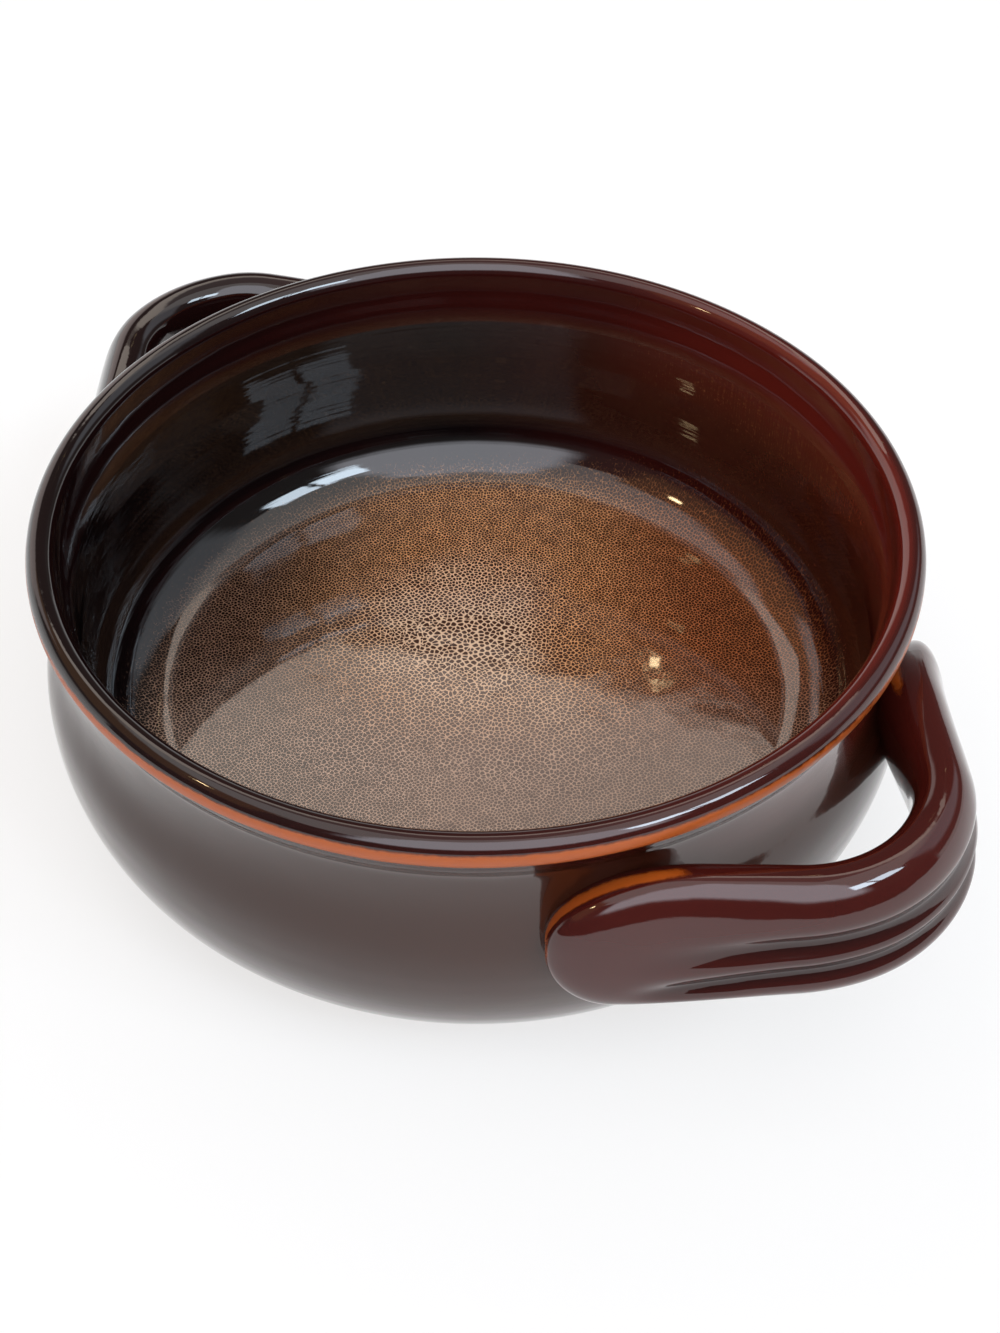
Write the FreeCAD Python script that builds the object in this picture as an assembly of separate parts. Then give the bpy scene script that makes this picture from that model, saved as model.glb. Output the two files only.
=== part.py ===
import FreeCAD, Part
import math
import os

from FreeCAD import Vector

# Glazed stoneware soup crock: a round bowl with a rolled lip, a belly and a turned
# foot ring, and two ribbed strap handles stuck to its wall with slip.
# Millimetres. The foot stands on z = 0, the bowl's axis is Z, the handles lie on X.

# ---- driving dimensions: bowl, measured over the glaze ----
bowl_height = 60.0          # table to the top of the lip
lip_radius = 75.0           # outside of the lip
lip_thickness = 4.8         # across the rolled lip
lip_height = 5.6            # top of the lip to the underside of its roll
lip_tuck = 1.0              # the underside of the roll starts this far inside lip_radius
lip_under_slope = 2.5       # the underside falls this much for each millimetre inward
neck_radius = 72.0          # outside, just under the lip
neck_drop = 12.0            # below the top of the lip
neck_wall = 3.2             # thickness of the wall at the neck
belly_radius = 76.2         # widest part of the wall
belly_height = 27.6
belly_wall = 6.0            # thickness of the wall at the belly
inner_depth = 48.4          # top of the lip to the flat floor
cove_radius = 14.2          # round corner between floor and wall

# ---- driving dimensions: foot ring, bare clay ----
foot_radius = 56.0          # outside of the standing face
foot_width = 6.0            # breadth of the standing face
foot_height = 3.6           # table to the underside of the bowl outside the ring
foot_recess = 3.2           # depth of the turned hollow inside the ring
foot_slope = 1.2            # each side of the ring leans by this much
bare_margin = 1.2           # clay left bare between the ring and the glaze

# ---- driving dimensions: glaze and slip ----
glaze_thickness = 0.5
slip_thickness = 0.3
effect_radius = 63.0        # the mottled floor glaze ends here, part way up the cove

# ---- driving dimensions: handles, measured over the clay ----
finger_gap = 15.0           # outside of the lip to the inside of the loop, at mid height
strap_thickness = 9.0       # at the middle of the loop
strap_height = 19.9         # at the middle of the loop
strap_drop = 7.0            # top of the lip to the top of the strap
strap_lean = 15.5           # degrees: the strap's lower edge stands out further
loop_radius = 26.0          # bend of the strap's centre line at the middle of the loop
root_angle = 35.4           # degrees from the handle's axis to the tip of a root
root_height = 22.5          # height of a root where it is tallest
root_drop = 8.9             # top of the lip to the top of a root
root_thickness = 7.2        # strap thickness at a root
root_proud = 6.3            # a root stands out this far from the wall
root_depth = 7.5            # its inner side swells this far in from the middle, into the wall
root_start = 0.24           # share of the way to the tip where the strap starts to flatten
tip_depth = 13.4            # top of a root to the point of its tip
upper_tip_length = 23.8     # the root's upper edge slopes down over this length
lower_tip_length = 10.1     # its lower edge and its face round off over this length
groove_depth = 1.6          # two grooves leave three ribs on the outside of the strap
groove_width = 1.9          # half width of a groove
upper_groove = 0.6          # this far above the strap's middle
lower_groove = 4.6          # this far below it
lower_groove_at_root = 6.0  # the lower groove drops to this on its way to a root
upper_groove_reach = 2      # higher: the groove keeps its depth nearer to the roots
lower_groove_reach = 8
strap_squareness = 2.5      # 2 is an ellipse, more is squarer
left_handle_angle = 176.5   # degrees round from the right handle: placed by eye, not quite opposite
cap_angle = 84.0            # degrees round the tip's quarter ellipse, where a small flat ends it

# ---- counts ----
loop_stations = 13          # sections over the loop and legs
tip_stations = 7            # sections over each rounded tip
section_points = 44         # points round one section

# ---- places worked out from the sizes above ----
lip_middle = lip_radius - lip_thickness / 2
neck_height = bowl_height - neck_drop
floor_height = bowl_height - inner_depth
cove_height = floor_height + cove_radius
wall_inside = belly_radius - belly_wall
floor_radius = wall_inside - cove_radius
glaze_end_radius = foot_radius + foot_slope + bare_margin

up = Vector(0, 0, 1)
down = Vector(0, 0, -1)
out = Vector(1, 0, 0)
inward = Vector(-1, 0, 0)
quarter_round = 0.5523      # makes a bend between square directions a quarter ellipse
same_point = 1e-6


def at(radius, height):
    """A point of the bowl's outline, in the XZ plane."""
    return Vector(radius, 0, height)


def line(start, end):
    return Part.LineSegment(start, end).toShape()


def bend(start, start_way, end, end_way):
    """Round curve that leaves start along start_way and reaches end along end_way."""
    first = Vector(start_way).normalize()
    last = Vector(end_way).normalize()
    span = end - start
    near_start = start + first * (quarter_round * abs(span.dot(first)))
    near_end = end - last * (quarter_round * abs(span.dot(last)))
    curve = Part.BezierCurve()
    curve.setPoles([start, near_start, near_end, end])
    return curve.toShape()


# ---- the bowl's outline ----
# inset moves a surface into the wall: 0 is the outside of the glaze and
# glaze_thickness is the clay.

def wall_outside(inset):
    """Neck, out to the belly, and in to the foot."""
    neck = at(neck_radius - inset, neck_height)
    belly = at(belly_radius - inset, belly_height)
    foot = at(glaze_end_radius, foot_height - glaze_thickness + inset)
    return [bend(neck, down, belly, down), bend(belly, down, foot, inward)]


def lip_outside(inset):
    """Top of the lip, over its round outside, to the neck."""
    top = at(lip_middle, bowl_height - inset)
    side = at(lip_radius - inset, bowl_height - lip_height / 2)
    under = at(lip_radius - lip_tuck - inset, bowl_height - lip_height + inset)
    neck = at(neck_radius - inset, neck_height)
    under_way = Vector(-1, 0, -lip_under_slope)
    return [
        bend(top, out, side, down),
        bend(side, down, under, under_way),
        bend(under, under_way, neck, down),
    ]


def lip_inside(inset):
    """Top of the lip, over its inside, to the neck."""
    top = at(lip_middle, bowl_height - inset)
    side = at(lip_radius - lip_thickness + inset, bowl_height - lip_height / 2)
    neck = at(neck_radius - neck_wall + inset, neck_height)
    return [bend(top, inward, side, down), bend(side, down, neck, down)]


def wall_inside_upper(inset):
    """Neck to the top of the cove."""
    neck = at(neck_radius - neck_wall + inset, neck_height)
    return bend(neck, down, at(wall_inside + inset, cove_height), down)


def cove_point(angle, inset):
    """A point on the cove, angle 0 at the wall and 90 at the floor, in degrees."""
    reach = cove_radius + inset
    turn = math.radians(angle)
    return at(floor_radius + reach * math.cos(turn), cove_height - reach * math.sin(turn))


def cove(first_angle, last_angle, inset):
    middle_angle = (first_angle + last_angle) / 2
    points = [cove_point(angle, inset) for angle in (first_angle, middle_angle, last_angle)]
    return Part.Arc(*points).toShape()


def floor_line(inset):
    """Edge of the flat floor to its middle."""
    return line(cove_point(90, inset), at(0, floor_height - inset))


def turned(edges):
    """Solid of revolution about the bowl's axis from the edges of a closed outline."""
    wire = Part.Wire(Part.__sortEdges__(edges))
    solid = Part.Face(wire).revolve(Vector(0, 0, 0), up, 360)
    return solid.removeSplitter() if solid.ShapeType == "Solid" else solid.Solids[0]


def ends(edges):
    """First and last point of a chain of edges, in the order drawn."""
    first = edges[0].Curve.value(edges[0].FirstParameter)
    last = edges[-1].Curve.value(edges[-1].LastParameter)
    return first, last


def layer(surface, first_inset, second_inset):
    """Turned skin between the same chain of edges drawn at two insets."""
    near = surface(first_inset)
    far = surface(second_inset)
    near_first, near_last = ends(near)
    far_first, far_last = ends(far)
    edges = near + far
    for start, end in ((near_first, far_first), (near_last, far_last)):
        if start.distanceToPoint(end) > same_point:
            edges.append(line(start, end))
    return edges


# ---- bowl body ----

def outside_chain(inset):
    return lip_outside(inset) + wall_outside(inset)


def inside_chain(inset):
    return lip_inside(inset) + [wall_inside_upper(inset), cove(0, 90, inset), floor_line(inset)]


def foot_chain():
    """Underside of the bare clay, from the end of the glaze to the axis."""
    points = [
        at(glaze_end_radius, foot_height),
        at(foot_radius + foot_slope, foot_height),
        at(foot_radius, 0),
        at(foot_radius - foot_width, 0),
        at(foot_radius - foot_width - foot_slope, foot_recess),
        at(0, foot_recess),
    ]
    return [line(a, b) for a, b in zip(points, points[1:])]


def make_bowl_body():
    axis = line(at(0, foot_recess), at(0, floor_height - glaze_thickness))
    clay = glaze_thickness
    return turned(outside_chain(clay) + inside_chain(clay) + foot_chain() + [axis])


def filled_bowl(inset):
    """The bowl's outside as a solid with no hollow, used to shape what sits on the wall."""
    top = bowl_height - inset
    bottom = foot_height - glaze_thickness + inset
    lid = line(at(0, top), at(lip_middle, top))
    base = line(at(glaze_end_radius, bottom), at(0, bottom))
    axis = line(at(0, bottom), at(0, top))
    return turned(outside_chain(inset) + [lid, base, axis])


# ---- glaze on the bowl ----

effect_angle = math.degrees(math.acos((effect_radius - floor_radius) / cove_radius))


def upper_inside_chain(inset):
    return lip_inside(inset) + [wall_inside_upper(inset), cove(0, effect_angle, inset)]


def floor_chain(inset):
    return [cove(effect_angle, 90, inset), floor_line(inset)]


def make_inside_glaze():
    return turned(layer(upper_inside_chain, 0, glaze_thickness))


def make_floor_glaze():
    return turned(layer(floor_chain, 0, glaze_thickness))


def make_outside_glaze(straps):
    coat = turned(layer(outside_chain, 0, glaze_thickness))
    for strap in straps:
        coat = coat.cut(strap)
    return coat.Solids[0]


# ---- handle strap ----

def wall_radius(height):
    """Outside radius of the clay wall at a height."""
    level = line(at(0, height), at(lip_radius + belly_radius, height))
    outline = Part.Wire(wall_outside(glaze_thickness))
    return level.distToShape(outline)[1][0][0].x


strap_middle_height = bowl_height - strap_drop - strap_height / 2
tip_height = bowl_height - root_drop - tip_depth
loop_reach = lip_radius + finger_gap + strap_thickness / 2
loop_centre = Vector(loop_reach - loop_radius, 0, 0)
tip_radius = wall_radius(tip_height) + root_proud - root_thickness / 2
tip = Vector(
    tip_radius * math.cos(math.radians(root_angle)),
    tip_radius * math.sin(math.radians(root_angle)),
    0,
)
# The leg is the straight line from the root's tip that just touches the loop's bend.
to_tip = tip - loop_centre
leg_length = math.sqrt(to_tip.Length ** 2 - loop_radius ** 2)
loop_half_angle = math.atan2(to_tip.y, to_tip.x) - math.acos(loop_radius / to_tip.Length)
loop_half_length = loop_radius * loop_half_angle
half_length = loop_half_length + leg_length
tip_start = half_length - lower_tip_length


def strap_place(distance):
    """Centre of the strap in plan and its outward way, distance along it from its middle."""
    side = math.copysign(1, distance)
    along = abs(distance)
    angle = min(along / loop_radius, loop_half_angle)
    past = max(along - loop_half_length, 0)
    outward = Vector(math.cos(angle), math.sin(angle), 0)
    forward = Vector(-math.sin(angle), math.cos(angle), 0)
    place = loop_centre + outward * loop_radius + forward * past
    return Vector(place.x, side * place.y, 0), Vector(outward.x, side * outward.y, 0)


def smooth_step(value):
    value = min(max(value, 0), 1)
    return value * value * (3 - 2 * value)


def mix(first, second, share):
    return first + (second - first) * share


def taper(along, length):
    """Quarter ellipse: 1 until length before the tip's point, 0 at the point."""
    share = max(along - half_length + length, 0) / length
    return math.sqrt(1 - share ** 2)


def strap_section(distance, skin):
    """Closed section of the strap, grown by skin all round."""
    place, outward = strap_place(distance)
    along = abs(distance)
    rootness = smooth_step((along / tip_start - root_start) / (1 - root_start))
    upper_taper = taper(along, upper_tip_length)
    lower_taper = taper(along, lower_tip_length)
    above = mix(strap_height / 2, tip_depth, rootness) * upper_taper + skin
    below = mix(strap_height / 2, root_height - tip_depth, rootness) * lower_taper + skin
    inner = mix(strap_thickness / 2, root_depth, rootness) + skin
    outer = mix(strap_thickness, root_thickness, rootness) / 2 * lower_taper + skin
    lean = math.radians(strap_lean)
    rise = up * math.cos(lean) - outward * math.sin(lean)
    thick = outward * math.cos(lean) + up * math.sin(lean)
    centre = place + up * mix(strap_middle_height, tip_height, rootness)
    grooves = (
        (upper_groove, 1 - rootness ** upper_groove_reach),
        (-mix(lower_groove, lower_groove_at_root, rootness), 1 - rootness ** lower_groove_reach),
    )
    points = []
    for k in range(section_points):
        angle = 2 * math.pi * k / section_points
        c = math.cos(angle)
        s = math.sin(angle)
        across = math.copysign(abs(c) ** (2 / strap_squareness), c)
        height = math.copysign(abs(s) ** (2 / strap_squareness), s) * (above if s > 0 else below)
        offset = across * (outer if c > 0 else inner)
        if c > 0:
            for groove, strength in grooves:
                dip = math.exp(-((height - groove) / groove_width) ** 2)
                offset -= groove_depth * strength * dip
        points.append(centre + thick * offset + rise * height)
    curve = Part.BSplineCurve()
    curve.interpolate(points, True)
    return Part.Wire(curve.toShape())


def strap_distances():
    """Where the sections lie along the strap, closer together over the round tips."""
    middle = [tip_start * (2 * k / (loop_stations - 1) - 1) for k in range(loop_stations)]
    tips = []
    for k in range(1, tip_stations + 1):
        share = math.sin(math.radians(cap_angle) * k / tip_stations)
        tips.append(mix(tip_start, half_length, share))
    return [-d for d in reversed(tips)] + middle + tips


def make_strap(skin):
    """The whole bent strap, its roots running into the wall."""
    sections = [strap_section(distance, skin) for distance in strap_distances()]
    return Part.makeLoft(sections, True, False)


def as_right(shape):
    """The right handle's shapes are drawn where they belong."""
    return shape


def as_left(shape):
    """The same shape on the other side of the bowl."""
    copy = shape.copy()
    copy.rotate(Vector(0, 0, 0), up, left_handle_angle)
    return copy


# ---- build and write every piece ----

clay_wall = filled_bowl(glaze_thickness)
slip_wall = filled_bowl(glaze_thickness - slip_thickness)
glazed_wall = filled_bowl(0)
right_strap = make_strap(0)
right_strap_glazed = make_strap(glaze_thickness)

handle = right_strap.cut(slip_wall)
handle_coat = right_strap_glazed.cut(right_strap).cut(glazed_wall)
slip = right_strap.common(slip_wall.cut(clay_wall))

pieces = {
    "bowl_body": make_bowl_body(),
    "inside_glaze": make_inside_glaze(),
    "floor_glaze": make_floor_glaze(),
    "outside_glaze": make_outside_glaze([right_strap, as_left(right_strap)]),
}
for side, place in (("right", as_right), ("left", as_left)):
    pieces["handle_" + side] = place(handle)
    pieces["handle_glaze_" + side] = place(handle_coat)
    roots = sorted(place(slip).Solids, key=lambda solid: solid.CenterOfMass.y)
    pieces["slip_joint_" + side + "_front"] = roots[0]
    pieces["slip_joint_" + side + "_back"] = roots[-1]

os.makedirs("parts", exist_ok=True)
for name, shape in pieces.items():
    solids = shape.Solids
    print(name, shape.ShapeType, len(solids), shape.isValid(), round(shape.Volume / 1000, 2), "cm3")
    piece = solids[0] if len(solids) == 1 else shape
    piece.exportStep("parts/" + name + ".step")
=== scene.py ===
import math

import bmesh
import bpy
from mathutils import Matrix, Vector
from mathutils.geometry import interpolate_bezier


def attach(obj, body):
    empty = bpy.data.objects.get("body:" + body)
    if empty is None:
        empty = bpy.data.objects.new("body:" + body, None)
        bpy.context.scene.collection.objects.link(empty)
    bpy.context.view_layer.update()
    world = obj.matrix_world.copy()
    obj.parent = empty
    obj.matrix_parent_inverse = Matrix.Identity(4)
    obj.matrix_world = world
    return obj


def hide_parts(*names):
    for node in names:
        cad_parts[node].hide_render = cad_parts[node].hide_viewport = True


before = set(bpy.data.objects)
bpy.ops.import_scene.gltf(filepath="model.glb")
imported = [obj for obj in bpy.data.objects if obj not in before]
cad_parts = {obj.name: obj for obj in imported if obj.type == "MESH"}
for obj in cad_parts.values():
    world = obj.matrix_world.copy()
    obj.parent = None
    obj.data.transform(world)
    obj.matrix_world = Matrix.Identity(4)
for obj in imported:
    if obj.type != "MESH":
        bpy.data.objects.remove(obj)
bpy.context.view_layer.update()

# ---- Clay bowl ----
# The bowl is one piece of buff stoneware, thrown or jiggered, with a turned foot ring.
# Glaze hides all of it but the foot ring, the hollow inside the ring and a bare line round it.

clay_colour = (0.50, 0.39, 0.28, 1)
clay_toasted = (0.36, 0.24, 0.15, 1)
clay_speck = (0.10, 0.065, 0.045, 1)
grain_dark = (0.82, 0.82, 0.82, 1)
grain_light = (1.1, 1.1, 1.1, 1)
bowl_toast = 0.75
clay_grain_relief = 0.5
clay_line_relief = 0.7
clay_relief = 0.00018
clay_lines_per_metre = 1600.0
ring_wander = 0.0012


def new_material(name):
    """A material with nothing but a Principled BSDF and its output."""
    material = bpy.data.materials.new(name)
    material.use_nodes = True
    tree = material.node_tree
    tree.nodes.clear()
    shader = tree.nodes.new("ShaderNodeBsdfPrincipled")
    output = tree.nodes.new("ShaderNodeOutputMaterial")
    tree.links.new(shader.outputs["BSDF"], output.inputs["Surface"])
    return material, tree, shader


def feed(tree, node, inputs):
    """Sets a node's sockets, each to a value or to another node's output."""
    for name, value in inputs.items():
        if isinstance(value, bpy.types.NodeSocket):
            tree.links.new(value, node.inputs[name])
        else:
            node.inputs[name].default_value = value


def add(tree, kind, inputs=None, **settings):
    """Adds a node with its settings and inputs."""
    node = tree.nodes.new("ShaderNode" + kind)
    for name, value in settings.items():
        setattr(node, name, value)
    feed(tree, node, inputs or {})
    return node


def object_place(tree):
    return add(tree, "TexCoord").outputs["Object"]


def noise(tree, place, scale, detail=2.0, roughness=0.5, distortion=0.0):
    """Soft random value about 0.5, with scale in features per metre."""
    inputs = {"Vector": place, "Scale": scale, "Detail": detail,
              "Roughness": roughness, "Distortion": distortion}
    return add(tree, "TexNoise", inputs).outputs["Fac"]


def calc(tree, operation, *values, clamp=False):
    """Arithmetic on numbers and other nodes' outputs."""
    inputs = dict(enumerate(values))
    return add(tree, "Math", inputs, operation=operation, use_clamp=clamp).outputs[0]


def times(tree, first, second):
    return calc(tree, "MULTIPLY", first, second)


def plus(tree, first, second):
    return calc(tree, "ADD", first, second)


def minus(tree, first, second):
    return calc(tree, "SUBTRACT", first, second)


def between(tree, value, low, high, first=0.0, last=1.0):
    """Smooth step: first where value is at low, last where it is at high."""
    inputs = {"Value": value, "From Min": low, "From Max": high, "To Min": first, "To Max": last}
    return add(tree, "MapRange", inputs, interpolation_type="SMOOTHSTEP").outputs["Result"]


def blend_colour(tree, share, first, second, blend_type="MIX"):
    """Colour that goes from first to second as share rises from 0 to 1."""
    inputs = {0: share, 6: first, 7: second}
    return add(tree, "Mix", inputs, data_type="RGBA", blend_type=blend_type).outputs[2]


def bump(tree, height, distance):
    inputs = {"Height": height, "Distance": distance, "Strength": 1.0}
    return add(tree, "Bump", inputs).outputs["Normal"]


def from_axis(tree, place):
    """Distance from the bowl's axis."""
    flat = add(tree, "VectorMath", {0: place, 1: (1, 1, 0)}, operation="MULTIPLY").outputs["Vector"]
    return add(tree, "VectorMath", {0: flat}, operation="LENGTH").outputs["Value"]


def height_of(tree, place):
    return add(tree, "SeparateXYZ", {"Vector": place}).outputs["Z"]


def new_group(name, inputs, outputs):
    """An empty shader group. inputs and outputs map a socket's name to its kind."""
    group = bpy.data.node_groups.new(name, "ShaderNodeTree")
    for socket, kind in inputs.items():
        group.interface.new_socket(socket, in_out="INPUT", socket_type="NodeSocket" + kind)
    for socket, kind in outputs.items():
        group.interface.new_socket(socket, in_out="OUTPUT", socket_type="NodeSocket" + kind)
    start = group.nodes.new("NodeGroupInput").outputs
    end = group.nodes.new("NodeGroupOutput")
    return group, start, end


def use_group(tree, group, inputs):
    """Places a shader group in a material."""
    node = tree.nodes.new("ShaderNodeGroup")
    node.node_tree = group
    feed(tree, node, inputs)
    return node.outputs


# Fine rings left by fingers and the turning tool, seen in clay and glaze alike.
rings, start, end = new_group(
    "throwing rings",
    inputs={"Place": "Vector", "Rings": "Float"},
    outputs={"Height": "Float"},
)
wander = times(rings, noise(rings, start["Place"], scale=22.0, detail=1.0), ring_wander)
along = plus(rings, from_axis(rings, start["Place"]), height_of(rings, start["Place"]))
turns = times(rings, plus(rings, along, wander), start["Rings"])
turns = add(rings, "CombineXYZ", {"X": turns}).outputs["Vector"]
feed(rings, end, {"Height": noise(rings, turns, scale=1.0)})


def clay_material(name, toast):
    """Unglazed stoneware: speckled, a little toasted by the kiln, with turning lines."""
    material, tree, shader = new_material(name)
    place = object_place(tree)
    grain = noise(tree, place, scale=1500.0, detail=3.0, roughness=0.7)
    cloud = noise(tree, place, scale=45.0)
    toasted = between(tree, cloud, 0.35, 0.7, last=toast)
    body = blend_colour(tree, toasted, clay_colour, clay_toasted)
    tint = blend_colour(tree, between(tree, grain, 0.3, 0.7), grain_dark, grain_light)
    grainy = blend_colour(tree, 1.0, body, tint, "MULTIPLY")
    spots = add(tree, "TexVoronoi", {"Vector": place, "Scale": 620.0, "Randomness": 1.0})
    in_spot = between(tree, spots.outputs["Distance"], 0.10, 0.22, first=1.0, last=0.0)
    rare = between(tree, noise(tree, place, scale=210.0), 0.50, 0.60)
    lines = use_group(tree, rings, {"Place": place, "Rings": clay_lines_per_metre})["Height"]
    relief = plus(tree, times(tree, lines, clay_line_relief), times(tree, grain, clay_grain_relief))
    feed(tree, shader, {
        "Base Color": blend_colour(tree, times(tree, in_spot, rare), grainy, clay_speck),
        "Roughness": between(tree, grain, 0.2, 0.8, first=0.66, last=0.86),
        "Normal": bump(tree, relief, clay_relief),
    })
    return material


def paint(node, material):
    """Gives a CAD node its finish."""
    node.data.materials.clear()
    node.data.materials.append(material)


bare_clay = clay_material("bare stoneware", bowl_toast)
paint(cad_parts["bowl_body"], bare_clay)

# ---- Handles ----
# Each handle is a pulled clay strap with three ribs, bent into a loop while soft.
# Its two roots are pressed against the wall. The clay shows nowhere, glaze covers it.

for side in ("right", "left"):
    paint(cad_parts["handle_" + side], bare_clay)

# ---- Slip joints ----
# Wet clay painted between each root and the wall, which glues them together in the kiln.
# It is the bowl's own clay, less toasted, and the handle glaze hides it.

slip_toast = 0.35

slip_clay = clay_material("slip clay", slip_toast)
for side in ("right", "left"):
    for root in ("front", "back"):
        paint(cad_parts["slip_joint_" + side + "_" + root], slip_clay)

# ---- Outside glaze ----
# A dipped coat of iron brown glaze over the rolled lip and down the wall to the bare foot.
# It runs off the lip's outer edge in the kiln, and the thin line left there breaks to rust.

bowl_height = 60.0
lip_radius = 75.0
lip_thickness = 4.8
lip_height = 5.6
lip_tuck = 1.0
lip_under_slope = 2.5
neck_radius = 72.0
neck_height = 48.0
neck_wall = 3.2
belly_radius = 76.2
belly_height = 27.6
belly_wall = 6.0
cove_radius = 14.2
wall_inside = belly_radius - belly_wall
floor_radius = wall_inside - cove_radius
glaze_end_radius = 58.4
glaze_end_height = 3.1
glaze_thickness = 0.5
lathe_steps = 256
quarter_round = 0.5523
sharp_edge_angle = math.radians(35)

# Heights and radii between which a mark on the glaze starts or ends.
rust_line_start = (54.5, 55.9)
rust_line_end = (57.6, 59.0)
rust_line_face = (73.4, 74.7)
foot_line_end = (3.2, 4.6)
wall_brown_end = (51, 55)
wall_outer_face = (70.6, 71.6)
deep_red_start = (32, 52)
deep_red_end = (71.2, 73.2)

# Places along the red side's way between which the red comes up, as shares of the floor's radius; the
# red is partly the glaze and partly painted warm light.
flame_and_warm_light_reach = (-1.1, 0.6)
deep_red_reach = (0.3, 1.25)

umber = (0.0030, 0.0019, 0.0020, 1)
red_brown = (0.076, 0.0090, 0.0062, 1)
rust_and_glow_orange = (0.42, 0.082, 0.005, 1)
wall_brown = (0.038, 0.012, 0.0055, 1)
pooled_black_and_shade = (0.0045, 0.0028, 0.0028, 1)
deep_red = (0.138, 0.0145, 0.0090, 1)
outside_red = 0.5
brown_drift = 0.35
darkest_side = 0.10
orange_raggedness = 0.5
orange_edge = (0.25, 0.85)
rust_dullness = 0.4
unbroken_roughness = {"first": 0.035, "last": 0.075}
thinnest_rust = 0.62
foot_rust = 0.8
wall_brown_share = 0.75
clear_coat = 0.25
pinhole_depth = 0.05
turning_depth = 0.25
glaze_relief = 0.0002
outside_rings_per_metre = 260.0

red_side = (0.693, 0.721, 0)
pale_side = (0.721, -0.693, 0)

up = Vector((0, 0, 1))
down = Vector((0, 0, -1))
out = Vector((1, 0, 0))
inward = Vector((-1, 0, 0))


def at(radius, height):
    return Vector((radius, 0, height))


def bend(start, start_way, end, end_way, points=14):
    """Points of a round curve that leaves start along start_way and reaches end along end_way."""
    first = start_way.normalized()
    last = end_way.normalized()
    span = end - start
    near_start = start + first * (quarter_round * abs(span.dot(first)))
    near_end = end - last * (quarter_round * abs(span.dot(last)))
    return interpolate_bezier(start, near_start, near_end, end, points)


def joined(*curves):
    """One chain of points from curves that meet end to start."""
    chain = list(curves[0])
    for curve in curves[1:]:
        chain += curve[1:]
    return chain


def spun(outline, closed=True):
    """Skin turned about the bowl's axis from a chain of points in millimetres."""
    mesh = bmesh.new()
    points = [mesh.verts.new(point) for point in outline]
    edges = [mesh.edges.new(pair) for pair in zip(points, points[1:])]
    if closed:
        edges.append(mesh.edges.new((points[-1], points[0])))
    bmesh.ops.spin(mesh, geom=points + edges, cent=(0, 0, 0), axis=up, angle=math.tau,
                   steps=lathe_steps, use_merge=True)
    return mesh


def finished(mesh, name, material, replaced):
    """Turns a mesh drawn in millimetres into a smooth piece that rides on the bowl."""
    bmesh.ops.scale(mesh, vec=(0.001, 0.001, 0.001), verts=mesh.verts)
    bmesh.ops.remove_doubles(mesh, verts=mesh.verts, dist=1e-7)
    bmesh.ops.recalc_face_normals(mesh, faces=mesh.faces)
    for face in mesh.faces:
        face.smooth = True
    for edge in mesh.edges:
        edge.smooth = edge.calc_face_angle(0) < sharp_edge_angle
    data = bpy.data.meshes.new(name)
    mesh.to_mesh(data)
    mesh.free()
    data.materials.append(material)
    piece = bpy.data.objects.new(name, data)
    bpy.context.scene.collection.objects.link(piece)
    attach(piece, "root")
    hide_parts(replaced)


def lip_inside(inset):
    """Neck, up the inside of the lip to its top."""
    top = at(lip_radius - lip_thickness / 2, bowl_height - inset)
    side = at(lip_radius - lip_thickness + inset, bowl_height - lip_height / 2)
    neck = at(neck_radius - neck_wall + inset, neck_height)
    return joined(bend(neck, up, side, up, 10), bend(side, up, top, out))


def outside(inset):
    """Top of the lip, over its outside, down the wall to the end of the glaze."""
    top = at(lip_radius - lip_thickness / 2, bowl_height - inset)
    side = at(lip_radius - inset, bowl_height - lip_height / 2)
    under = at(lip_radius - lip_tuck - inset, bowl_height - lip_height + inset)
    neck = at(neck_radius - inset, neck_height)
    belly = at(belly_radius - inset, belly_height)
    foot = at(glaze_end_radius, glaze_end_height + inset)
    under_way = Vector((-1, 0, -lip_under_slope))
    return joined(
        bend(top, out, side, down),
        bend(side, down, under, under_way, 10),
        bend(under, under_way, neck, down),
        bend(neck, down, belly, down, 30),
        bend(belly, down, foot, inward, 40),
    )


def between_mm(tree, size, low, high, first=0.0, last=1.0):
    """between for a height or a radius, with low and high in millimetres."""
    return between(tree, size, low / 1000, high / 1000, first, last)


def towards(tree, place, way):
    """How far a place lies along a level way from the axis, as a share of the floor's radius."""
    along = add(tree, "VectorMath", {0: place, 1: way}, operation="DOT_PRODUCT").outputs["Value"]
    return calc(tree, "DIVIDE", along, floor_radius / 1000)


# Iron brown glaze: near black where it is thick, red-brown where thinner, rust where it broke. Its
# pooled black also paints shade in the handles' grooves, and its orange also paints a warm glow on one
# root of each handle.
# The kiln's flame reddened one side of the crock and left the other almost black; part of this is
# painted light, warm light on the red side and shade on the dark side.
brown_glaze, start, end = new_group(
    "iron brown glaze",
    inputs={"Place": "Vector", "Red": "Float", "Orange amount": "Float", "Pool and shade": "Float"},
    outputs={"Color": "Color", "Roughness": "Float", "Coat": "Float", "Height": "Float"},
)
tree = brown_glaze
place = start["Place"]
cloud = noise(tree, place, scale=26.0, detail=3.0, roughness=0.55, distortion=0.4)
freckle = noise(tree, place, scale=520.0, roughness=0.6)
drift = times(tree, minus(tree, cloud, 0.5), brown_drift)
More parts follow.
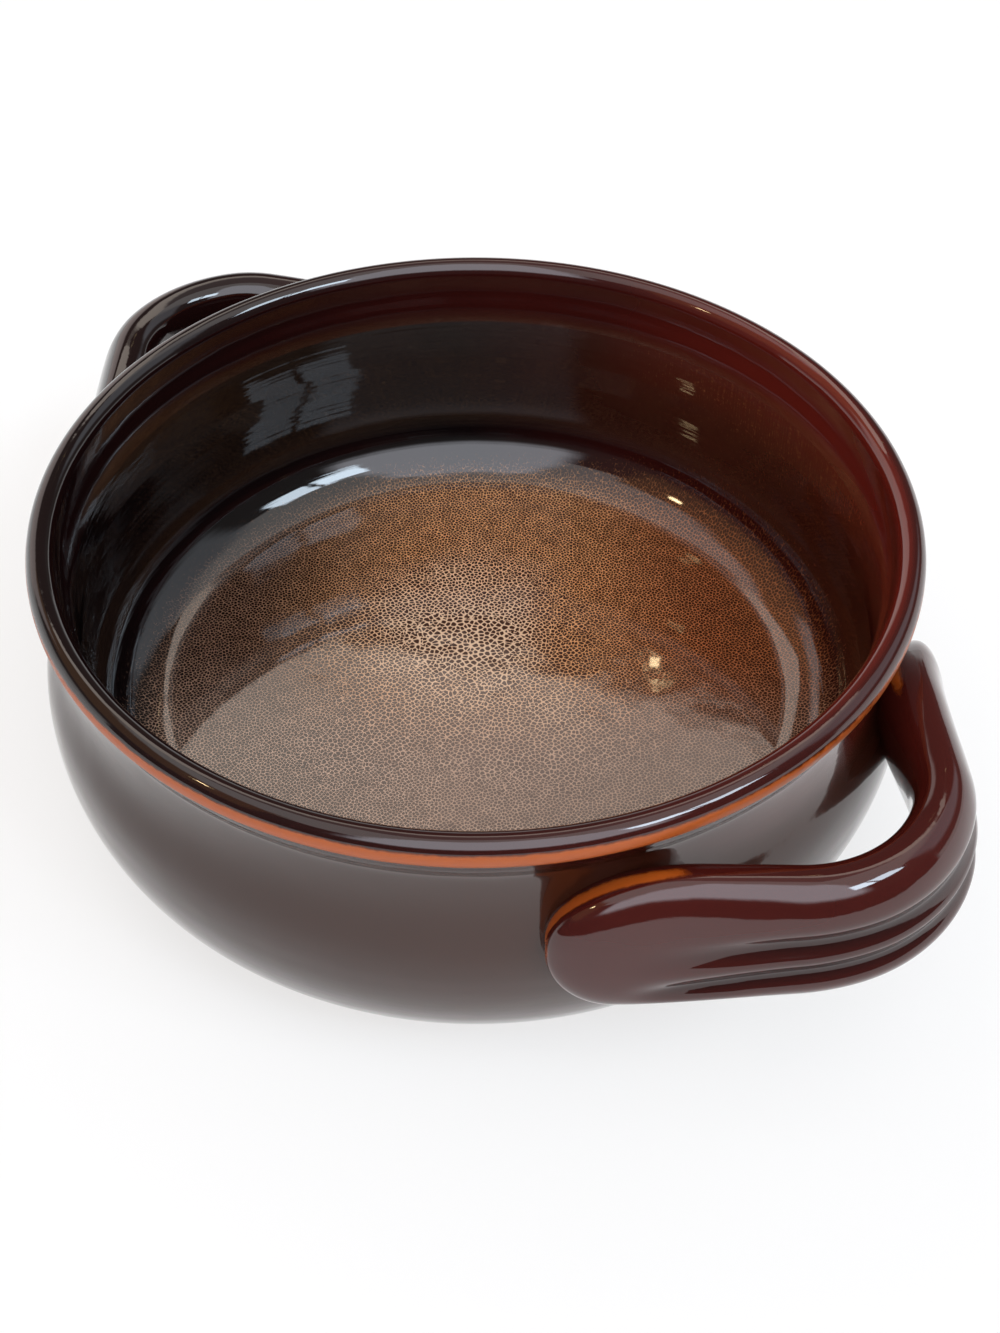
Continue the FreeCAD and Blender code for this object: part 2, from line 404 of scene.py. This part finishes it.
# Red on one side and near black on the other: partly the glaze, partly painted warm light and painted
# shade.
flame_and_warm_light = between(tree, towards(tree, place, red_side), *flame_and_warm_light_reach, first=darkest_side)
depth = calc(tree, "MULTIPLY", plus(tree, start["Red"], drift), flame_and_warm_light, clamp=True)
body = blend_colour(tree, depth, umber, red_brown)
ragged = times(tree, minus(tree, freckle, 0.5), orange_raggedness)
orange_share = between(tree, plus(tree, start["Orange amount"], ragged), *orange_edge)
with_orange = blend_colour(tree, orange_share, body, rust_and_glow_orange)
gloss = between(tree, freckle, 0.25, 0.75, **unbroken_roughness)
dull = times(tree, orange_share, rust_dullness)
orange_peel = noise(tree, place, scale=95.0, detail=1.0)
pinholes = times(tree, noise(tree, place, scale=700.0, detail=1.0), pinhole_depth)
feed(tree, end, {
    # Pooled black in the grooves, partly painted shade.
    "Color": blend_colour(tree, start["Pool and shade"], with_orange, pooled_black_and_shade),
    "Roughness": plus(tree, gloss, dull),
    "Coat": times(tree, minus(tree, 1.0, orange_share), clear_coat),
    "Height": plus(tree, orange_peel, pinholes),
})


def glazed(shader):
    """The clear glassy surface that every glaze here has."""
    shader.inputs["IOR"].default_value = 1.55
    shader.inputs["Coat Roughness"].default_value = 0.02
    shader.inputs["Coat IOR"].default_value = 1.55


def deep_red_and_warm_light(tree, place, colour):
    """Deep red on the red side, from half way up the inside to the middle of the lip, partly the glaze
    and partly painted warm light.
    """
    flame_and_warm_light = between(tree, towards(tree, place, red_side), *deep_red_reach)
    above = between_mm(tree, height_of(tree, place), *deep_red_start)
    within = between_mm(tree, from_axis(tree, place), *deep_red_end, first=1.0, last=0.0)
    share = times(tree, flame_and_warm_light, times(tree, above, within))
    return blend_colour(tree, share, colour, deep_red)


outside_finish, tree, shader = new_material("brown glaze, outside")
place = object_place(tree)
level = height_of(tree, place)
radius = from_axis(tree, place)
above = between_mm(tree, level, *rust_line_start)
below = between_mm(tree, level, *rust_line_end, first=1.0, last=0.0)
outer_side = between_mm(tree, radius, *rust_line_face)
rust_line = times(tree, times(tree, above, below), outer_side)
uneven = between(tree, noise(tree, place, scale=30.0, detail=1.0), 0.35, 0.60, first=thinnest_rust)
foot_line = between_mm(tree, level, *foot_line_end, first=foot_rust, last=0.0)
orange_amount = calc(tree, "MAXIMUM", times(tree, rust_line, uneven), foot_line)
coat = use_group(tree, brown_glaze, {"Place": place, "Red": outside_red, "Orange amount": orange_amount, "Pool and shade": 0.0})
turning = use_group(tree, rings, {"Place": place, "Rings": outside_rings_per_metre})["Height"]
relief = plus(tree, coat["Height"], times(tree, turning, turning_depth))
below_lip = between_mm(tree, level, *wall_brown_end, first=wall_brown_share, last=0.0)
outward = between_mm(tree, radius, *wall_outer_face)
browned = blend_colour(tree, times(tree, below_lip, outward), coat["Color"], wall_brown)
feed(tree, shader, {
    "Base Color": deep_red_and_warm_light(tree, place, browned),
    "Roughness": coat["Roughness"],
    "Coat Weight": coat["Coat"],
    "Normal": bump(tree, relief, glaze_relief),
})
glazed(shader)

outer_face = joined(lip_inside(0), outside(0))
inner_face = joined(lip_inside(glaze_thickness), outside(glaze_thickness))
finished(spun(outer_face + inner_face[::-1]), "outside_coat", outside_finish,
         "outside_glaze")

# ---- Inside glaze ----
# The same brown glaze poured inside. It lines the wall from the neck down into the round cove,
# where specks of the floor's pale glaze have crept up into it.

inner_depth = 48.4
effect_radius = 63.0
floor_height = bowl_height - inner_depth
cove_height = floor_height + cove_radius
effect_angle = math.degrees(math.acos((effect_radius - floor_radius) / cove_radius))
cove_points = 60

cream = (0.62, 0.42, 0.275, 1)
tan = (0.42, 0.26, 0.178, 1)
amber = (0.60, 0.29, 0.12, 1)
caramel = (0.42, 0.135, 0.048, 1)
olive_brown = (0.16, 0.085, 0.052, 1)
cell_brown = (0.052, 0.0160, 0.0065, 1)
cell_black = (0.014, 0.0055, 0.0028, 1)
pale_middle = (-0.012, 0.013, 0)
large_cells_per_metre = 960.0
medium_cells_per_metre = 1250.0
small_cells_per_metre = 1600.0
cell_scatter = 0.85
net_scatter = 0.22
net_widths = {"first": 0.22, "last": 0.155}
net_edge = (-0.07, 0.09)
lining_red = {"first": 0.45, "last": 0.9}

# Distances in metres by which the pattern strays, leans and creeps.
pale_drift = 0.050
size_drift = 0.030
pale_lean = 0.024
creep_drift = 0.010
creep_rise = {"first": 0.0010, "last": -0.0030}

# Distances from the pale middle, or heights and radii, between which the pattern changes.
large_cells_end = (13.5, 14.5)
medium_cells_end = (33.5, 34.5)
wide_net_end = (6, 22)
cream_end = (4, 30)
creep_end = (58.5, 67)
lining_red_start = (22, 48)
low_wall_end = (18, 30)

# Places along a side's way between which a colour changes, as shares of the floor's radius.
olive_to_amber = (-0.85, -0.15)
amber_to_caramel = (0.25, 0.85)
back_to_tan = (-0.25, 0.35)
black_to_brown = (-0.8, 0.0)
creep_reach = (0.0, 1.0)
lining_red_reach = (-0.2, 1.1)

inside_rings_per_metre = 300.0
inside_specular = 0.28
inside_relief = 0.00014
wall_turning = 1.2
floor_turning = 0.0
floor_coat = 0.69


def cove(first_angle, last_angle, inset):
    """Round corner between wall and floor, 0 at the wall and 90 at the floor, in degrees."""
    reach = cove_radius + inset
    chain = []
    for k in range(cove_points):
        turn = math.radians(first_angle + (last_angle - first_angle) * k / (cove_points - 1))
        chain.append(at(floor_radius + reach * math.cos(turn), cove_height - reach * math.sin(turn)))
    return chain


def inside(inset):
    """Neck to where the floor glaze starts."""
    neck = at(neck_radius - neck_wall + inset, neck_height)
    wall = bend(neck, down, at(wall_inside + inset, cove_height), down, 24)
    return joined(wall, cove(0, effect_angle, inset))


def cells(tree, place, per_metre):
    """0 at the border of a cell of the mottled glaze and 1 in its middle."""
    inputs = {"Vector": place, "Scale": per_metre, "Randomness": cell_scatter}
    to_middle, to_border = (
        add(tree, "TexVoronoi", inputs, feature=feature, voronoi_dimensions="2D").outputs["Distance"]
        for feature in ("F1", "DISTANCE_TO_EDGE")
    )
    return calc(tree, "DIVIDE", to_border, plus(tree, to_border, to_middle))


def blend_value(tree, share, first, second):
    return add(tree, "Mix", {0: share, 2: first, 3: second}, data_type="FLOAT").outputs[0]


# Mottled glaze: dark cells in a pale net, large near the middle and fine at the floor's edge.
mottle, start, end = new_group("mottled glaze", {"Place": "Vector"}, {"Color": "Color"})
tree = mottle
place = start["Place"]
front = towards(tree, place, pale_side)
side = towards(tree, place, red_side)
off_middle = add(tree, "VectorMath", {0: place, 1: pale_middle}, operation="SUBTRACT").outputs["Vector"]
drift = minus(tree, noise(tree, place, scale=34.0, detail=2.5), 0.5)
spread = plus(tree, from_axis(tree, off_middle), times(tree, drift, pale_drift))
grain = minus(tree, noise(tree, place, scale=420.0, detail=1.0), 0.5)
patchy = plus(tree, spread, times(tree, grain, size_drift))
patchy = minus(tree, patchy, times(tree, front, pale_lean))
large = cells(tree, place, large_cells_per_metre)
medium = cells(tree, place, medium_cells_per_metre)
small = cells(tree, place, small_cells_per_metre)
large_or_medium = blend_value(tree, between_mm(tree, patchy, *large_cells_end), large, medium)
in_cell = blend_value(tree, between_mm(tree, patchy, *medium_cells_end), large_or_medium, small)
uneven = minus(tree, noise(tree, place, scale=480.0, detail=1.0), 0.5)
net_width = between_mm(tree, spread, *wide_net_end, **net_widths)
net_width = plus(tree, net_width, times(tree, uneven, net_scatter))
net = between(tree, minus(tree, in_cell, net_width), *net_edge, first=1.0, last=0.0)
# Net warmer and cells browner towards the red side: the glaze's colour with painted warm light.
net_back = blend_colour(tree, between(tree, side, *olive_to_amber), olive_brown, amber)
net_back = blend_colour(tree, between(tree, side, *amber_to_caramel), net_back, caramel)
net_outer = blend_colour(tree, between(tree, front, *back_to_tan), net_back, tan)
net_colour = blend_colour(tree, between_mm(tree, spread, *cream_end), cream, net_outer)
cell_colour = blend_colour(tree, between(tree, side, *black_to_brown), cell_black, cell_brown)
feed(tree, end, {"Color": blend_colour(tree, net, cell_colour, net_colour)})

# How far the pale glaze has crept up the cove: 1 on the floor, 0 on the wall.
# It crept higher on the red side.
creep, start, end = new_group(
    "floor glaze creeping up the cove", inputs={"Place": "Vector"}, outputs={"Share": "Float"},
)
tree = creep
place = start["Place"]
ragged = minus(tree, noise(tree, place, scale=1500.0, roughness=0.6), 0.5)
higher = between(tree, towards(tree, place, red_side), *creep_reach, **creep_rise)
reach = plus(tree, from_axis(tree, place), times(tree, ragged, creep_drift))
reach = plus(tree, reach, higher)
feed(tree, end, {"Share": between_mm(tree, reach, *creep_end, first=1.0, last=0.0)})


def inner_finish(name, turning_height):
    """Brown glaze that gives way to the mottled floor glaze across the cove."""
    material, tree, shader = new_material(name)
    place = object_place(tree)
    level = height_of(tree, place)
    # Redder up the inside on the red side: the glaze's colour with painted warm light.
    on_red_side = between(tree, towards(tree, place, red_side), *lining_red_reach)
    red = times(tree, on_red_side, between_mm(tree, level, *lining_red_start, **lining_red))
    coat = use_group(tree, brown_glaze, {"Place": place, "Red": red, "Orange amount": 0.0, "Pool and shade": 0.0})
    pattern = use_group(tree, mottle, {"Place": place})["Color"]
    share = use_group(tree, creep, {"Place": place})["Share"]
    lining = deep_red_and_warm_light(tree, place, coat["Color"])
    turning = use_group(tree, rings, {"Place": place, "Rings": inside_rings_per_metre})["Height"]
    relief = plus(tree, coat["Height"], times(tree, turning, turning_height))
    low = between_mm(tree, level, *low_wall_end, first=1.0, last=0.0)
    feed(tree, shader, {
        "Base Color": blend_colour(tree, share, lining, pattern),
        "Roughness": coat["Roughness"],
        "Specular IOR Level": inside_specular,
        "Coat Weight": times(tree, low, floor_coat),
        "Normal": bump(tree, relief, inside_relief),
    })
    glazed(shader)
    return material


finished(spun(inside(0) + inside(glaze_thickness)[::-1]), "inside_coat",
         inner_finish("brown glaze, inside", wall_turning), "inside_glaze")

# ---- Floor glaze ----
# A second, pale glaze that pools on the floor and curdles into a net round dark cells.
# It starts part way up the cove, where the inside glaze ends, and closes in the middle.

floor_steps = 40


def floor(inset):
    """Down the cove from the end of the inside glaze, and over the flat floor to its middle."""
    corner = cove(effect_angle, 90, inset)
    middle = at(0, floor_height - inset)
    flat = [corner[-1].lerp(middle, k / floor_steps) for k in range(floor_steps + 1)]
    return joined(corner, flat)


finished(spun(floor(0)[::-1] + floor(glaze_thickness), closed=False), "floor_pool",
         inner_finish("mottled glaze, floor", floor_turning), "floor_glaze")

# ---- Handle glaze ----
# The brown glaze on each strap. It runs off the ribs and pools black in the grooves, a black that is
# also painted shade, and breaks to rust along the upper edge of the front root; along the back root's
# inner top side the same orange is a painted warm glow.

finger_gap = 15.0
strap_thickness = 9.0
strap_height = 19.9
strap_drop = 7.0
strap_lean = math.radians(15.5)
loop_radius = 26.0
root_angle = math.radians(35.4)
root_height = 22.5
root_drop = 8.9
root_thickness = 7.2
root_proud = 6.3
root_depth = 7.5
root_start = 0.24
tip_depth = 13.4
upper_tip_length = 23.8
lower_tip_length = 10.1
groove_depth = 1.6
groove_width = 1.9
upper_groove = 0.6
lower_groove = 4.6
lower_groove_at_root = 6.0
upper_groove_reach = 2
lower_groove_reach = 8
squareness = 2.5
left_handle_angle = math.radians(176.5)
buried_radius = 71.3
section_points = 96
leg_sections = 90
tip_sections = 24
cap_angle = math.radians(88)

# Degrees round a section, from its outer side, where the front root's edge broke to rust and where the
# back root carries a painted warm glow in the same orange. The orange comes up between two shares of
# the way to a root, and the rust round its tip between two of its tapers.
front_rust_angle = 92
# The back root's orange is a painted warm glow, not broken glaze.
back_glow_angle = 112
rust_and_glow_width = 9
root_rust_and_glow_start = (0.65625, 0.96875)
tip_rust_start = (0.5, 0.1)
tip_rust = 0.6
handle_red = 0.72
# Share of pooled black in the grooves, partly painted shade.
groove_pool_and_shade = 0.75

tip_height = bowl_height - root_drop - tip_depth
strap_middle_height = bowl_height - strap_drop - strap_height / 2


def wall_radius_at(height):
    """Outside of the wall at a height, between two points of its outline."""
    chain = [point for point in outside(glaze_thickness) if point.z < neck_height]
    for above, below in zip(chain, chain[1:]):
        if above.z >= height >= below.z:
            return below.x + (above.x - below.x) * (height - below.z) / (above.z - below.z)


loop_centre = Vector((lip_radius + finger_gap + strap_thickness / 2 - loop_radius, 0, 0))
tip_radius = wall_radius_at(tip_height) + root_proud - root_thickness / 2
tip_place = Vector((tip_radius * math.cos(root_angle), tip_radius * math.sin(root_angle), 0))
to_tip = tip_place - loop_centre
leg_length = math.sqrt(to_tip.length ** 2 - loop_radius ** 2)
loop_half_angle = math.atan2(to_tip.y, to_tip.x) - math.acos(loop_radius / to_tip.length)
half_length = loop_radius * loop_half_angle + leg_length
tip_start = half_length - lower_tip_length


def rising(value, start, end):
    """Smooth step: 0 where value is at start, 1 where it is at end."""
    share = min(max((value - start) / (end - start), 0), 1)
    return share * share * (3 - 2 * share)


def mix(first, second, share):
    return first + (second - first) * share


def taper(along, length):
    """Quarter ellipse: 1 until length before the tip's point, 0 at the point."""
    share = max(along - half_length + length, 0) / length
    return math.sqrt(1 - min(share, 1) ** 2)


def strap_place(distance):
    """Centre of the strap in plan and its outward way, distance along it from its middle."""
    side = math.copysign(1, distance)
    along = abs(distance)
    angle = min(along / loop_radius, loop_half_angle)
    past = max(along - loop_radius * loop_half_angle, 0)
    outward = Vector((math.cos(angle), math.sin(angle), 0))
    forward = Vector((-math.sin(angle), math.cos(angle), 0))
    place = loop_centre + outward * loop_radius + forward * past
    return Vector((place.x, side * place.y, 0)), Vector((outward.x, side * outward.y, 0))


def groove_cut(height, rootness):
    """How deep the two grooves cut here, as a share of their full depth."""
    grooves = (
        (upper_groove, 1 - rootness ** upper_groove_reach),
        (-mix(lower_groove, lower_groove_at_root, rootness), 1 - rootness ** lower_groove_reach),
    )
    return sum(strength * math.exp(-((height - groove) / groove_width) ** 2)
               for groove, strength in grooves)


def broken_glaze_and_glow(distance, angle, rootness):
    """How far the glaze broke to rust along the front root's upper edge and round each tip, and how
    strong the painted warm glow is along the back root's inner top side.
    """
    rust_and_glow_angle = front_rust_angle if distance < 0 else back_glow_angle
    upper_edge = math.exp(-((math.degrees(angle) - rust_and_glow_angle) / rust_and_glow_width) ** 2)
    on_root = rising(rootness, *root_rust_and_glow_start)
    tip_edge = rising(taper(abs(distance), lower_tip_length), *tip_rust_start)
    return max(upper_edge * on_root, tip_rust * tip_edge if math.cos(angle) > 0 else 0)


def strap_point(distance, angle):
    """A point of the glazed strap, with its share of rust and painted warm glow, and how far the glaze
    pooled there, which also stands for painted shade.
    """
    place, outward = strap_place(distance)
    along = abs(distance)
    rootness = rising(along / tip_start, root_start, 1)
    above = mix(strap_height / 2, tip_depth, rootness) * taper(along, upper_tip_length)
    below = mix(strap_height / 2, root_height - tip_depth, rootness) * taper(along, lower_tip_length)
    inner = mix(strap_thickness / 2, root_depth, rootness)
    outer = mix(strap_thickness, root_thickness, rootness) / 2 * taper(along, lower_tip_length)
    cosine = math.cos(angle)
    sine = math.sin(angle)
    half_height = (above if sine > 0 else below) + glaze_thickness
    half_width = (outer if cosine > 0 else inner) + glaze_thickness
    height = math.copysign(abs(sine) ** (2 / squareness), sine) * half_height
    aside = math.copysign(abs(cosine) ** (2 / squareness), cosine) * half_width
    cut = groove_cut(height, rootness) if cosine > 0 else 0
    rise = up * math.cos(strap_lean) - outward * math.sin(strap_lean)
    thick = outward * math.cos(strap_lean) + up * math.sin(strap_lean)
    point = place + up * mix(strap_middle_height, tip_height, rootness)
    point += thick * (aside - groove_depth * cut) + rise * height
    from_bowl = math.hypot(point.x, point.y)
    if from_bowl < buried_radius:
        point.x *= buried_radius / from_bowl
        point.y *= buried_radius / from_bowl
    return point, broken_glaze_and_glow(distance, angle, rootness), min(cut, 1)


def strap_distances():
    """Where the sections lie along the strap, closer together over the round tips."""
    legs = [tip_start * (2 * k / (leg_sections - 1) - 1) for k in range(leg_sections)]
    tips = [mix(tip_start, half_length, math.sin(cap_angle * k / tip_sections))
            for k in range(1, tip_sections + 1)]
    return [-d for d in reversed(tips)] + legs + tips


def follow(ring, pulled):
    """The new ring's points in the order of the old one's."""
    fresh = {part for part in pulled if isinstance(part, bmesh.types.BMVert)}
    return [next(edge.other_vert(vertex) for edge in vertex.link_edges
                 if edge.other_vert(vertex) in fresh) for vertex in ring]


def strap_skin():
    """The bent strap as a ring of points pulled along from tip to tip."""
    mesh = bmesh.new()
    orange_amount = mesh.verts.layers.float.new("orange_amount")
    pool_and_shade = mesh.verts.layers.float.new("pool_and_shade")
    bmesh.ops.create_circle(mesh, segments=section_points, radius=1, cap_ends=True)
    ring = list(mesh.verts)
    edges = list(mesh.edges)
    for number, distance in enumerate(strap_distances()):
        if number:
            pulled = bmesh.ops.extrude_edge_only(mesh, edges=edges)["geom"]
            edges = [part for part in pulled if isinstance(part, bmesh.types.BMEdge)
                     and part.verts[0] in pulled and part.verts[1] in pulled]
            ring = follow(ring, pulled)
        for k, vertex in enumerate(ring):
            angle = math.tau * k / section_points
            vertex.co, vertex[orange_amount], vertex[pool_and_shade] = strap_point(distance, angle)
    bmesh.ops.holes_fill(mesh, edges=edges, sides=0)
    return mesh


handle_finish, tree, shader = new_material("brown glaze, handle")
orange_amount = add(tree, "Attribute", attribute_name="orange_amount").outputs["Fac"]
pool_and_shade = add(tree, "Attribute", attribute_name="pool_and_shade").outputs["Fac"]
coat = use_group(tree, brown_glaze, {
    "Place": object_place(tree),
    "Red": handle_red,
    "Orange amount": orange_amount,
    "Pool and shade": times(tree, pool_and_shade, groove_pool_and_shade),
})
feed(tree, shader, {
    "Base Color": coat["Color"],
    "Roughness": coat["Roughness"],
    "Coat Weight": coat["Coat"],
    "Normal": bump(tree, coat["Height"], glaze_relief),
})
glazed(shader)

for side, turn in (("right", 0.0), ("left", left_handle_angle)):
    mesh = strap_skin()
    bmesh.ops.rotate(mesh, verts=mesh.verts, cent=(0, 0, 0), matrix=Matrix.Rotation(turn, 3, "Z"))
    finished(mesh, "handle_coat_" + side, handle_finish, "handle_glaze_" + side)

# ---- Table ----
# A plain pale table. To the camera and in the glaze it partly shines by itself, so that it
# stays near white in soft light and still holds the crock's shadow.

table_half_width = 4.0
table_colour = (0.93, 0.925, 0.915, 1)
table_roughness = 0.9
table_glow = (1, 0.995, 0.985, 1)
glow_share = 0.66

mesh = bmesh.new()
bmesh.ops.create_grid(mesh, x_segments=1, y_segments=1, size=table_half_width)
data = bpy.data.meshes.new("table")
mesh.to_mesh(data)
mesh.free()
table = bpy.data.objects.new("table", data)
bpy.context.scene.collection.objects.link(table)
table_finish, tree, shader = new_material("pale table")
feed(tree, shader, {"Base Color": table_colour, "Roughness": table_roughness})
ray = add(tree, "LightPath").outputs
seen = plus(tree, ray["Is Glossy Ray"], ray["Is Transmission Ray"])
seen = plus(tree, ray["Is Camera Ray"], seen)
share = calc(tree, "MULTIPLY", seen, glow_share, clamp=True)
glow = add(tree, "Emission", {"Color": table_glow, "Strength": 1.0}).outputs["Emission"]
surface = shader.outputs["BSDF"].links[0].to_socket
lit = add(tree, "MixShader", {0: share, 1: shader.outputs["BSDF"], 2: glow}).outputs["Shader"]
tree.links.new(lit, surface)
data.materials.append(table_finish)

# ---- Room ----
# The pale room that the glaze mirrors: a lit back wall with a slanting lower edge, a warm
# corner, dim walls and two bright panes. It gives the table its soft light as well.

glow_from_below = (0.90, 0.90, 0.89, 1)
dim_wall = (0.12, 0.115, 0.11, 1)
near_wall = (0.09, 0.085, 0.085, 1)
ceiling = (1.15, 1.12, 1.10, 1)
back_wall_shade = (0.10, 0.09, 0.085, 1)
back_wall_light = (2.00, 1.76, 1.56, 1)
over_back_wall = (0.40, 0.36, 0.35, 1)
warm_corner = (0.42, 0.26, 0.16, 1)
warm_wall = (1.15, 0.98, 0.94, 1)
near_ceiling = (2.65, 2.70, 2.95, 1)
cool_wall = (0.65, 0.69, 0.75, 1)
left_pane = (11.0, 13.0, 15.0, 1)
right_pane = (9.0, 10.6, 12.2, 1)
glow_end = (5, 17)
ceiling_start = (45, 48)
back_wall_edge = (44.4, 44.9)
slant = 0.115
slant_offset = 124.5

world = bpy.data.worlds.new("pale room")
world.use_nodes = True
bpy.context.scene.world = world
tree = world.node_tree
tree.nodes.clear()
way = add(tree, "SeparateXYZ", {"Vector": add(tree, "TexCoord").outputs["Generated"]}).outputs
azimuth = calc(tree, "DEGREES", calc(tree, "ARCTAN2", way["X"], times(tree, way["Y"], -1.0)))
elevation = calc(tree, "DEGREES", calc(tree, "ARCSINE", way["Z"]))


def patch(room, colour, middle, width, low, high, soft):
    """Soft-edged patch of the room, placed by azimuth and elevation in degrees."""
    turn = calc(tree, "WRAP", minus(tree, azimuth, middle), 180.0, -180.0)
    aside = calc(tree, "ABSOLUTE", turn)
    within = between(tree, aside, width / 2 - soft, width / 2 + soft, first=1.0, last=0.0)
    above = between(tree, elevation, low - soft, low + soft)
    below = between(tree, elevation, high - soft, high + soft, first=1.0, last=0.0)
    return blend_colour(tree, times(tree, within, times(tree, above, below)), room, colour)


slanted = plus(tree, elevation, times(tree, plus(tree, azimuth, slant_offset), slant))
over_edge = between(tree, slanted, *back_wall_edge)
back_wall = blend_colour(tree, over_edge, back_wall_shade, back_wall_light)
room = blend_colour(tree, between(tree, elevation, *glow_end), glow_from_below, dim_wall)
room = patch(room, near_wall, middle=46, width=170, low=-20, high=20, soft=1.5)
room = blend_colour(tree, between(tree, elevation, *ceiling_start), room, ceiling)
room = patch(room, over_back_wall, middle=226, width=76, low=56, high=82, soft=3.0)
room = patch(room, back_wall, middle=226, width=76, low=20, high=56, soft=2.0)
room = patch(room, warm_corner, middle=309, width=92, low=24, high=52, soft=3.0)
room = patch(room, dim_wall, middle=168, width=74, low=6, high=22, soft=1.5)
room = patch(room, warm_wall, middle=264, width=44, low=4, high=34, soft=3.0)
room = patch(room, near_ceiling, middle=55, width=76, low=27, high=80, soft=5.0)
room = patch(room, cool_wall, middle=160, width=50, low=22, high=50, soft=5.0)
room = patch(room, left_pane, middle=95.5, width=17, low=40, high=52, soft=0.7)
room = patch(room, right_pane, middle=114.5, width=16, low=40, high=52, soft=0.7)
light = add(tree, "Background", {"Color": room, "Strength": 1.0})
add(tree, "OutputWorld", {"Surface": light.outputs["Background"]})

# ---- Lamps ----
# Two small warm lamps, which leave the yellow glints on the floor and the far wall.

lamp_target = Vector((0, 0, 0.03))


def lamp(name, azimuth, elevation, distance, width, height, power, colour):
    """Soft lamp that looks at the bowl. azimuth is counted as the camera's is."""
    data = bpy.data.lights.new(name, "AREA")
    data.shape = "RECTANGLE"
    data.size = width
    data.size_y = height
    data.energy = power
    data.color = colour
    holder = bpy.data.objects.new(name, data)
    turn = math.radians(azimuth)
    tilt = math.radians(elevation)
    way = Vector((math.sin(turn) * math.cos(tilt), -math.cos(turn) * math.cos(tilt), math.sin(tilt)))
    holder.location = way * distance + lamp_target
    holder.rotation_euler = way.to_track_quat("Z", "Y").to_euler()
    bpy.context.scene.collection.objects.link(holder)


lamp("window lamp", azimuth=335.6, elevation=43.5, distance=1.35,
     width=0.085, height=0.050, power=0.50, colour=(1.0, 0.74, 0.40))
lamp("far lamp", azimuth=217.1, elevation=44.4, distance=1.40,
     width=0.009, height=0.009, power=0.005, colour=(1.0, 0.74, 0.42))

# ---- Camera ----
# It looks down into the crock, half way round from the front to the right handle.
# Its distance and aim are counted in lip radii, as they were found from the photograph.

lip_reach = lip_radius / 1000
camera_azimuth = math.radians(46.14)
camera_elevation = math.radians(45.76)
camera_roll = math.radians(0.655)
camera_distance = 3.914 * lip_reach
aim_right = 0.0555 * lip_reach
aim_up = -0.3768 * lip_reach
focal_length = 47.16

back = Vector((
    math.sin(camera_azimuth) * math.cos(camera_elevation),
    -math.cos(camera_azimuth) * math.cos(camera_elevation),
    math.sin(camera_elevation),
))
right = Vector((math.cos(camera_azimuth), math.sin(camera_azimuth), 0))
above = back.cross(right)
camera_data = bpy.data.cameras.new("camera")
camera_data.lens = focal_length
camera = bpy.data.objects.new("camera", camera_data)
bpy.context.scene.collection.objects.link(camera)
rolled_right = right * math.cos(camera_roll) + above * math.sin(camera_roll)
rolled_up = above * math.cos(camera_roll) - right * math.sin(camera_roll)
turned = Matrix((rolled_right, rolled_up, back)).transposed().to_4x4()
lip_middle = Vector((0, 0, bowl_height / 1000))
place = lip_middle + back * camera_distance + right * aim_right + above * aim_up
camera.matrix_world = Matrix.Translation(place) @ turned
bpy.context.scene.camera = camera
bpy.context.scene.view_settings.view_transform = "Standard"
